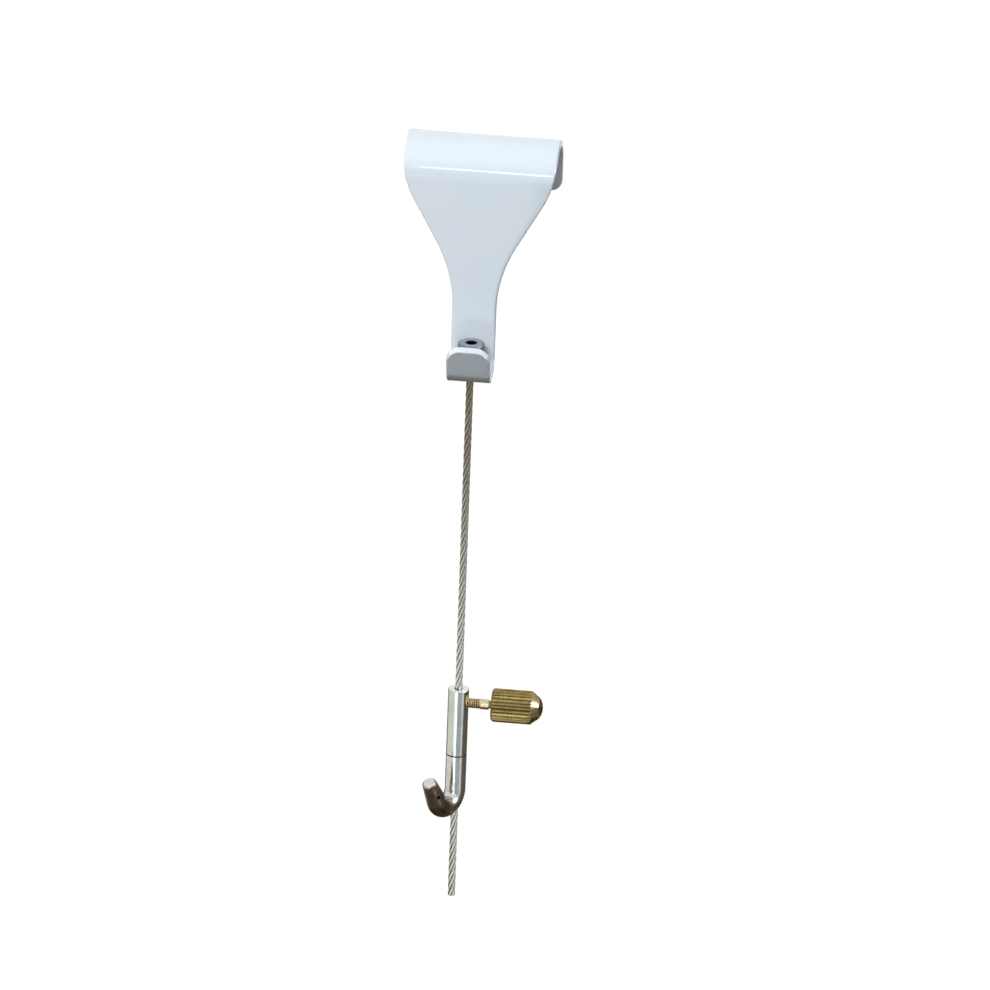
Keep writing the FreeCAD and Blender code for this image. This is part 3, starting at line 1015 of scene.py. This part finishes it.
def hook_rings():
    """Centre, angle round the bend and radius of each ring from the spigot to the tip."""
    spigot_top = SEAM_Z + SPIGOT_LENGTH - SPIGOT_PLAY
    shank = softened([
        (0, spigot_top, 0),
        (SPIGOT_RADIUS, spigot_top, SPIGOT_ROUND),
        (SPIGOT_RADIUS, SEAM_Z, 0),
        (BARREL_RADIUS, SEAM_Z, SEAM_EDGE),
        (BARREL_RADIUS, BEND_Z, 0),
    ])
    rings = [(Vector((0, 0, height)), 0.0, radius) for radius, height in shank]
    for angle in spaced(0.0, BEND_ANGLE, BEND_STEPS)[1:]:
        centre = Vector((BEND_RADIUS * (1 - math.cos(angle)), 0,
                         BEND_Z - BEND_RADIUS * math.sin(angle)))
        rings.append((centre, angle, BARREL_RADIUS))
    prong = softened([
        (BARREL_RADIUS, PRONG_START, 0),
        (PRONG_TIP, PRONG_LENGTH - PRONG_CHAMFER, PRONG_ROUND),
        (PRONG_TIP - PRONG_CHAMFER, PRONG_LENGTH, PRONG_ROUND),
        (0, PRONG_LENGTH, 0),
    ])
    rings += [(along_prong(distance), BEND_ANGLE, radius) for radius, distance in prong]
    return rings


def slider_hook(material):
    """The bent rod with its spigot, the bore for the cable and the pit on the prong."""
    bm = bmesh.new()
    rings = []
    for centre, angle, radius in hook_rings():
        ring = []
        for side in range(ROD_SIDES if radius > WELD else 1):
            point = centre + outward(angle, TURN * side / ROD_SIDES) * radius
            ring.append(bm.verts.new(HOOK_PLACE @ point))
        rings.append(ring)
    join_rings(bm, rings)
    piece = mesh_from("slider_hook_rod", bm, material)
    lowest = BEND_Z - BEND_RADIUS - 2 * BARREL_RADIUS
    bore = bar(SLIDER_BORE, on_cable(lowest), on_cable(SLIDER_TOP))
    wall = BARREL_RADIUS + (PRONG_TIP - BARREL_RADIUS) * PIT_REACH / PRONG_LENGTH
    out = outward(BEND_ANGLE, PIT_TURN)
    pit_floor = along_prong(PIT_REACH) + out * (wall - PIT_DEPTH)
    pit_mouth = pit_floor + out * 2 * PIT_DEPTH
    pit = bar(PIT_DIAMETER / 2, HOOK_PLACE @ pit_floor, HOOK_PLACE @ pit_mouth, PIT_SIDES)
    drill(piece, bore, pit)
    return dress(piece, "slider", "slider_hook")


# Thumb screw

def screw_tree():
    """Cut a thread on the shank and straight knurling on the knob, both about X."""
    tree, given, out = group_tree(
        "thread_and_knurl", "GeometryNodeTree",
        [("Geometry", "NodeSocketGeometry", None), ("Axis", "NodeSocketVector", SCREW_AXIS),
         ("Pitch", "NodeSocketFloat", THREAD_PITCH),
         ("Thread Depth", "NodeSocketFloat", THREAD_DEPTH),
         ("Thread Start", "NodeSocketFloat", SHANK_START),
         ("Thread End", "NodeSocketFloat", THREAD_END),
         ("Knob Start", "NodeSocketFloat", KNOB_START),
         ("Knob Radius", "NodeSocketFloat", KNOB_RADIUS),
         ("Teeth", "NodeSocketInt", KNURL_TEETH),
         ("Knurl Depth", "NodeSocketFloat", KNURL_DEPTH),
         ("Material", "NodeSocketMaterial", None)],
        [("Geometry", "NodeSocketGeometry")])
    place = tree.nodes.new("GeometryNodeInputPosition").outputs[0]
    parts = tree.nodes.new("ShaderNodeSeparateXYZ")
    feed(tree, parts.inputs[0], vectors(tree, "SUBTRACT", place, given["Axis"]))
    along, y, z = parts.outputs
    turns = sums(tree, "DIVIDE", sums(tree, "ARCTAN2", z, y), TURN)
    spread = sums(tree, "ADD", sums(tree, "MULTIPLY", y, y), sums(tree, "MULTIPLY", z, z))
    reach = sums(tree, "MAXIMUM", sums(tree, "SQRT", spread), WELD)

    def wave(phase):
        """1 half way between whole numbers and 0 at them."""
        return sums(tree, "MULTIPLY", sums(tree, "PINGPONG", phase, 0.5), 2.0)

    groove = wave(sums(tree, "SUBTRACT", sums(tree, "DIVIDE", along, given["Pitch"]), turns))
    run_in = sums(tree, "ADD", given["Thread Start"], given["Pitch"])
    run_out = sums(tree, "SUBTRACT", given["Thread End"], given["Pitch"])
    on_thread = sums(tree, "MULTIPLY", ramp(tree, along, given["Thread Start"], run_in),
                     ramp(tree, along, run_out, given["Thread End"], 1.0, 0.0))
    cut = sums(tree, "MULTIPLY", sums(tree, "MULTIPLY", groove, given["Thread Depth"]), on_thread)
    threaded = sums(tree, "SUBTRACT", reach, cut)
    tooth = wave(sums(tree, "MULTIPLY", turns, given["Teeth"]))
    limit = sums(tree, "SUBTRACT", given["Knob Radius"],
                 sums(tree, "MULTIPLY", tooth, given["Knurl Depth"]))
    knurled = sums(tree, "MINIMUM", reach, limit)
    chosen = tree.nodes.new("ShaderNodeMix")
    before_knob = sums(tree, "SUBTRACT", given["Knob Start"], WELD)
    feed(tree, chosen.inputs["Factor"], sums(tree, "GREATER_THAN", along, before_knob))
    feed(tree, chosen.inputs[2], threaded)
    feed(tree, chosen.inputs[3], knurled)
    share = sums(tree, "DIVIDE", chosen.outputs[0], reach)
    joined = tree.nodes.new("ShaderNodeCombineXYZ")
    feed(tree, joined.inputs[0], along)
    feed(tree, joined.inputs[1], sums(tree, "MULTIPLY", y, share))
    feed(tree, joined.inputs[2], sums(tree, "MULTIPLY", z, share))
    moved = tree.nodes.new("GeometryNodeSetPosition")
    feed(tree, moved.inputs["Geometry"], given["Geometry"])
    feed(tree, moved.inputs["Position"], vectors(tree, "ADD", joined.outputs[0], given["Axis"]))
    screw = realised(tree, moved.outputs["Geometry"], given["Material"])
    feed(tree, out["Geometry"], screw)
    return tree


def screw_outline():
    """The screw's turned outline from its point to the top of the dome."""
    bevel_foot = KNOB_RADIUS - KNOB_BEVEL
    dome_start = CONE_START + CONE_LENGTH
    dome_radius = (CONE_END ** 2 + DOME_RISE ** 2) / (2 * DOME_RISE)
    dome_middle = dome_start + DOME_RISE - dome_radius
    swing = math.asin(CONE_END / dome_radius)
    outline = [(0, SCREW_END), (SCREW_RADIUS - SCREW_POINT, SCREW_END)]
    for along in spaced(SHANK_START, NECK_START, SHANK_STEPS):
        outline.append((SCREW_RADIUS, along))
    outline += [(NECK_RADIUS, NECK_START), (NECK_RADIUS, KNOB_START)]
    for rise in spaced(0.0, KNOB_BEVEL, BEVEL_STEPS):
        outline.append((bevel_foot + rise, KNOB_START + rise))
    for along in spaced(KNOB_START + KNOB_BEVEL, CONE_START, KNOB_STEPS)[1:]:
        outline.append((KNOB_RADIUS, along))
    cone_radii = spaced(KNOB_RADIUS, CONE_END, CONE_STEPS)
    cone_places = spaced(CONE_START, dome_start, CONE_STEPS)
    outline += list(zip(cone_radii, cone_places))[1:]
    for angle in spaced(swing, 0.0, DOME_STEPS)[1:]:
        along = dome_middle + dome_radius * math.cos(angle)
        outline.append((dome_radius * math.sin(angle), along))
    return outline


def thumb_screw(material):
    """The turned screw with its thread and knurling."""
    place = Matrix.Translation(SCREW_AXIS) @ Matrix.Rotation(QUARTER, 4, "Y")
    bm = lathe(screw_outline(), SCREW_SIDES, place)
    piece = mesh_from("thumb_screw_knurled", bm, material)
    cutting = piece.modifiers.new("thread_and_knurl", "NODES")
    cutting.node_group = screw_tree()
    set_inputs(cutting, Material=material)
    settle(piece)
    shade(piece.data, SCREW_CREASE)
    return dress(piece, "screw", "thumb_screw")


# Studio

def seen_directly(tree):
    """1 for the camera, for reflections and through clear things, and 0 for other rays."""
    light = tree.nodes.new("ShaderNodeLightPath").outputs
    mirrored = sums(tree, "MAXIMUM", light["Is Glossy Ray"], light["Is Transmission Ray"])
    return sums(tree, "MAXIMUM", light["Is Camera Ray"], mirrored)


def studio_world():
    """White where it is seen, and a weak fill on the part."""
    world = bpy.data.worlds.new("studio")
    world.use_nodes = True
    tree = world.node_tree
    background = tree.nodes["Background"].inputs
    background["Color"].default_value = WHITE
    feed(tree, background["Strength"], between(tree, seen_directly(tree), WORLD_FILL, 1.0))
    bpy.context.scene.world = world


def disc(radius, place, sides):
    """A flat round face."""
    bm = bmesh.new()
    bmesh.ops.create_circle(bm, cap_ends=True, segments=sides, radius=radius,
                            matrix=Matrix.Translation(place))
    return bm


def floor():
    """A wide pale floor well under the hanging part."""
    material, tree, shader = finish_material(
        "floor_paper", Base_Color=FLOOR_PAPER, Roughness=0.9, Emission_Color=WHITE)
    glow = between(tree, seen_directly(tree), 0.0, FLOOR_GLOW)
    feed(tree, shader.inputs["Emission Strength"], glow)
    piece = mesh_from("floor", disc(FLOOR_RADIUS, (0, 0, FLOOR_Z), FLOOR_SIDES), material)


def board(name, bm, brightness):
    """A bright or dark board that only reflections show."""
    material, _, _ = finish_material(name, Base_Color=BLACK, Specular_IOR_Level=0.0,
                                     Emission_Color=(*brightness, 1), Emission_Strength=1.0)
    piece = mesh_from(name, bm, material)
    piece.visible_camera = False
    piece.visible_diffuse = False
    piece.visible_shadow = False


def standing_board(name, start, end, brightness):
    """A curved board round the slider, between two angles to the right of the camera."""
    bm = bmesh.new()
    rows = []
    for height in (BOARD_FOOT, BOARD_TOP):
        row = []
        for degrees in spaced(start, end, BOARD_STEPS):
            angle = CAMERA_SIDE + math.radians(degrees)
            aside = Vector((math.sin(angle), -math.cos(angle), 0)) * BOARD_RADIUS
            row.append(bm.verts.new(on_cable(height) + aside))
        rows.append(row)
    low, high = rows
    for step in range(BOARD_STEPS):
        bm.faces.new((low[step], low[step + 1], high[step + 1], high[step]))
    board(name, bm, brightness)


def lamp(name, place, target, size, strength, colour=(1, 1, 1), glossy=True, diffuse=True):
    """A soft rectangular lamp whose face has the given brightness."""
    width, height = size
    light = bpy.data.lights.new(name, "AREA")
    light.shape = "RECTANGLE"
    light.size = width
    light.size_y = height
    light.energy = strength * math.pi * width * height
    light.color = colour
    piece = new_object(name, light)
    piece.matrix_world = Matrix.Translation(place) @ turned_to(Vector(place) - Vector(target))
    piece.visible_camera = False
    piece.visible_glossy = glossy
    piece.visible_diffuse = diffuse


def camera():
    """The photograph's view: from above and a little to the right, turned a little."""
    back = Vector((math.sin(CAMERA_SIDE) * math.cos(CAMERA_RISE),
                   -math.cos(CAMERA_SIDE) * math.cos(CAMERA_RISE), math.sin(CAMERA_RISE)))
    right = Vector((math.cos(CAMERA_SIDE), math.sin(CAMERA_SIDE), 0))
    up = back.cross(right)
    x_axis = right * math.cos(CAMERA_ROLL) + up * math.sin(CAMERA_ROLL)
    y_axis = up * math.cos(CAMERA_ROLL) - right * math.sin(CAMERA_ROLL)
    data = bpy.data.cameras.new("camera")
    data.sensor_width = SENSOR
    data.lens = CAMERA_SCALE * CAMERA_DISTANCE * SENSOR / IMAGE_WIDTH
    data.clip_end = CAMERA_FAR
    piece = new_object("camera", data)
    turned = Matrix((x_axis, y_axis, back)).transposed().to_4x4()
    piece.matrix_world = Matrix.Translation(CAMERA_TARGET + back * CAMERA_DISTANCE) @ turned
    bpy.context.scene.camera = piece


bpy.context.scene.view_settings.view_transform = "Standard"
camera()
rail_hook(white_coat())
stop = cable_stop(grey_ferrule())
barrel = slider_barrel(nickel_barrel())
rod = slider_hook(nickel_hook())
screw = thumb_screw(brass())
cable(steel_wire())

studio_world()
floor()
for name, start, end, brightness in BOARDS:
    standing_board(name, start, end, brightness)
under = disc(UNDER_BOARD_RADIUS, on_cable(UNDER_BOARD_Z), UNDER_BOARD_SIDES)
board("under_board", under, UNDER_BOARD_BROWN)
lamp("key", (-0.30, -0.84, 0.96), LEG_MIDDLE, size=(0.9, 0.7), strength=10.8,
     colour=(0.91, 0.965, 1.0), glossy=False)
for side in (-1, 1):
    lamp("back_light", (side, 0.6, 0.05), LEG_MIDDLE, size=(0.8, 0.8), strength=4.2, glossy=False)
lamp("glint", SCREW_AXIS + Vector((0.55, -0.10, 0.24)), SCREW_AXIS, size=(0.18, 0.18),
     strength=22.0, diffuse=False)
lamp("tube", (-0.036, -1.42, 0.455), (0, 0, 0), size=(0.272, 0.13), strength=8.0, diffuse=False)
